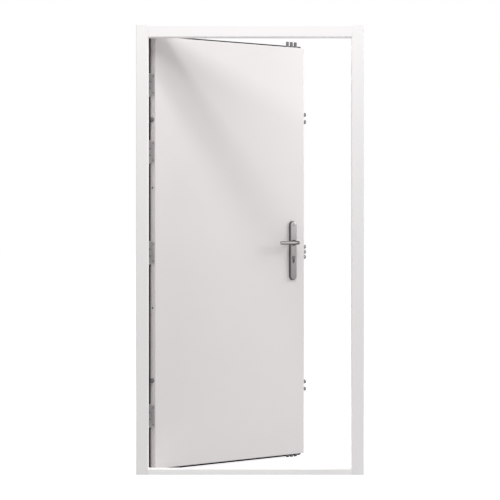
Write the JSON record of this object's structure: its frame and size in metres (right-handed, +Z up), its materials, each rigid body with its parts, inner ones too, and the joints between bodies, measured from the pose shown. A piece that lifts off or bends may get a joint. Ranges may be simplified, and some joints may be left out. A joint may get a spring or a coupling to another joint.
{
  "type": "steel security door",
  "caption": "Outward-opening flush steel security door in a pressed steel frame, with lever handles, butt hinges, dog bolts and a multi-point lock.",
  "frame": {"origin": "middle of the underside of the sill, at half the depth of the frame", "axes": "+X from the hinge side to the lock side, +Y out of the building, +Z up"},
  "size_m": [1.023, 0.7677, 2.02],
  "materials": {
    "frame_paint": "satin",
    "leaf_paint": "satin",
    "filling": "matte",
    "seal_rubber": "matte",
    "plated_steel": "satin",
    "hinge_steel": "satin",
    "bolt_steel": "satin",
    "handle_steel": "satin",
    "cylinder_nickel": "satin"
  },
  "bodies": {
    "frame": {"hinge_jamb": "frame_paint", "lock_jamb": "frame_paint", "frame_head": "frame_paint", "sill": "frame_paint", "frame_hinge_flap_1": "hinge_steel", "frame_hinge_flap_2": "hinge_steel", "frame_hinge_flap_3": "hinge_steel", "frame_hinge_flap_4": "hinge_steel", "hinge_pin_1": "hinge_steel", "hinge_pin_2": "hinge_steel", "hinge_pin_3": "hinge_steel", "hinge_pin_4": "hinge_steel"},
    "leaf": {"inner_skin": "leaf_paint", "outer_skin": "leaf_paint", "leaf_core": "filling", "lock_stile": "plated_steel", "edge_seal": "seal_rubber", "centre_lock_case": "plated_steel", "top_lock_case": "plated_steel", "bottom_lock_case": "plated_steel", "upper_lock_case": "plated_steel", "lower_lock_case": "plated_steel", "inner_backplate": "handle_steel", "outer_backplate": "handle_steel", "lock_cylinder": "cylinder_nickel", "lower_dog_bolt": "hinge_steel", "upper_dog_bolt": "hinge_steel", "door_hinge_flap_1": "hinge_steel", "door_hinge_flap_2": "hinge_steel", "door_hinge_flap_3": "hinge_steel", "door_hinge_flap_4": "hinge_steel"},
    "handle": {"inner_lever": "handle_steel", "outer_lever": "handle_steel", "spindle": "handle_steel"},
    "latch": {"latch_bolt": "bolt_steel"},
    "side_bolts": {"centre_deadbolts": "bolt_steel", "upper_side_bolts": "bolt_steel", "lower_side_bolts": "bolt_steel"},
    "top_bolts": {"top_bolts": "bolt_steel", "upper_drive_rod": "plated_steel"},
    "bottom_bolts": {"bottom_bolts": "bolt_steel", "lower_drive_rod": "plated_steel"},
    "key_plug": {"key_plug": "cylinder_nickel"}
  },
  "joints": [
    {"name": "leaf_swing", "type": "hinge", "parent": "frame", "child": "leaf", "pos_m": [-0.4705, 0.0825, 0], "axis": [0, 0, 1], "range_deg": [-42.4, 127.6]},
    {"name": "handle_turn", "type": "hinge", "parent": "leaf", "child": "handle", "pos_m": [0.18808, 0.63443, 1.035], "axis": [-0.6743, 0.7385, 0], "range_deg": [-40, 0], "stiffness_Nm_per_rad": 2, "springref_deg": 28.65},
    {"name": "latch_slide", "type": "slide", "parent": "leaf", "child": "latch", "axis": [0.7385, 0.6743, 0], "range_m": [-0.014, 0]},
    {"name": "bolt_throw", "type": "slide", "parent": "leaf", "child": "side_bolts", "axis": [0.7385, 0.6743, 0], "range_m": [-0.0245, 0]},
    {"name": "top_bolt_throw", "type": "slide", "parent": "leaf", "child": "top_bolts", "axis": [0, 0, 1], "range_m": [-0.0276, 0]},
    {"name": "bottom_bolt_throw", "type": "slide", "parent": "leaf", "child": "bottom_bolts", "axis": [0, 0, -1], "range_m": [-0.0151, 0]},
    {"name": "key_turn", "type": "hinge", "parent": "leaf", "child": "key_plug", "pos_m": [0.18808, 0.63443, 0.963], "axis": [-0.6743, 0.7385, 0], "range_deg": [-361, 0]}
  ],
  "couplings": [
    {"joint": "latch_slide", "follows": "handle_turn", "m_per_rad": 0.020033},
    {"joint": "top_bolt_throw", "follows": "bolt_throw", "ratio": 1.1224},
    {"joint": "bottom_bolt_throw", "follows": "bolt_throw", "ratio": 0.61225},
    {"joint": "key_turn", "follows": "bolt_throw", "rad_per_m": 256.46}
  ]
}
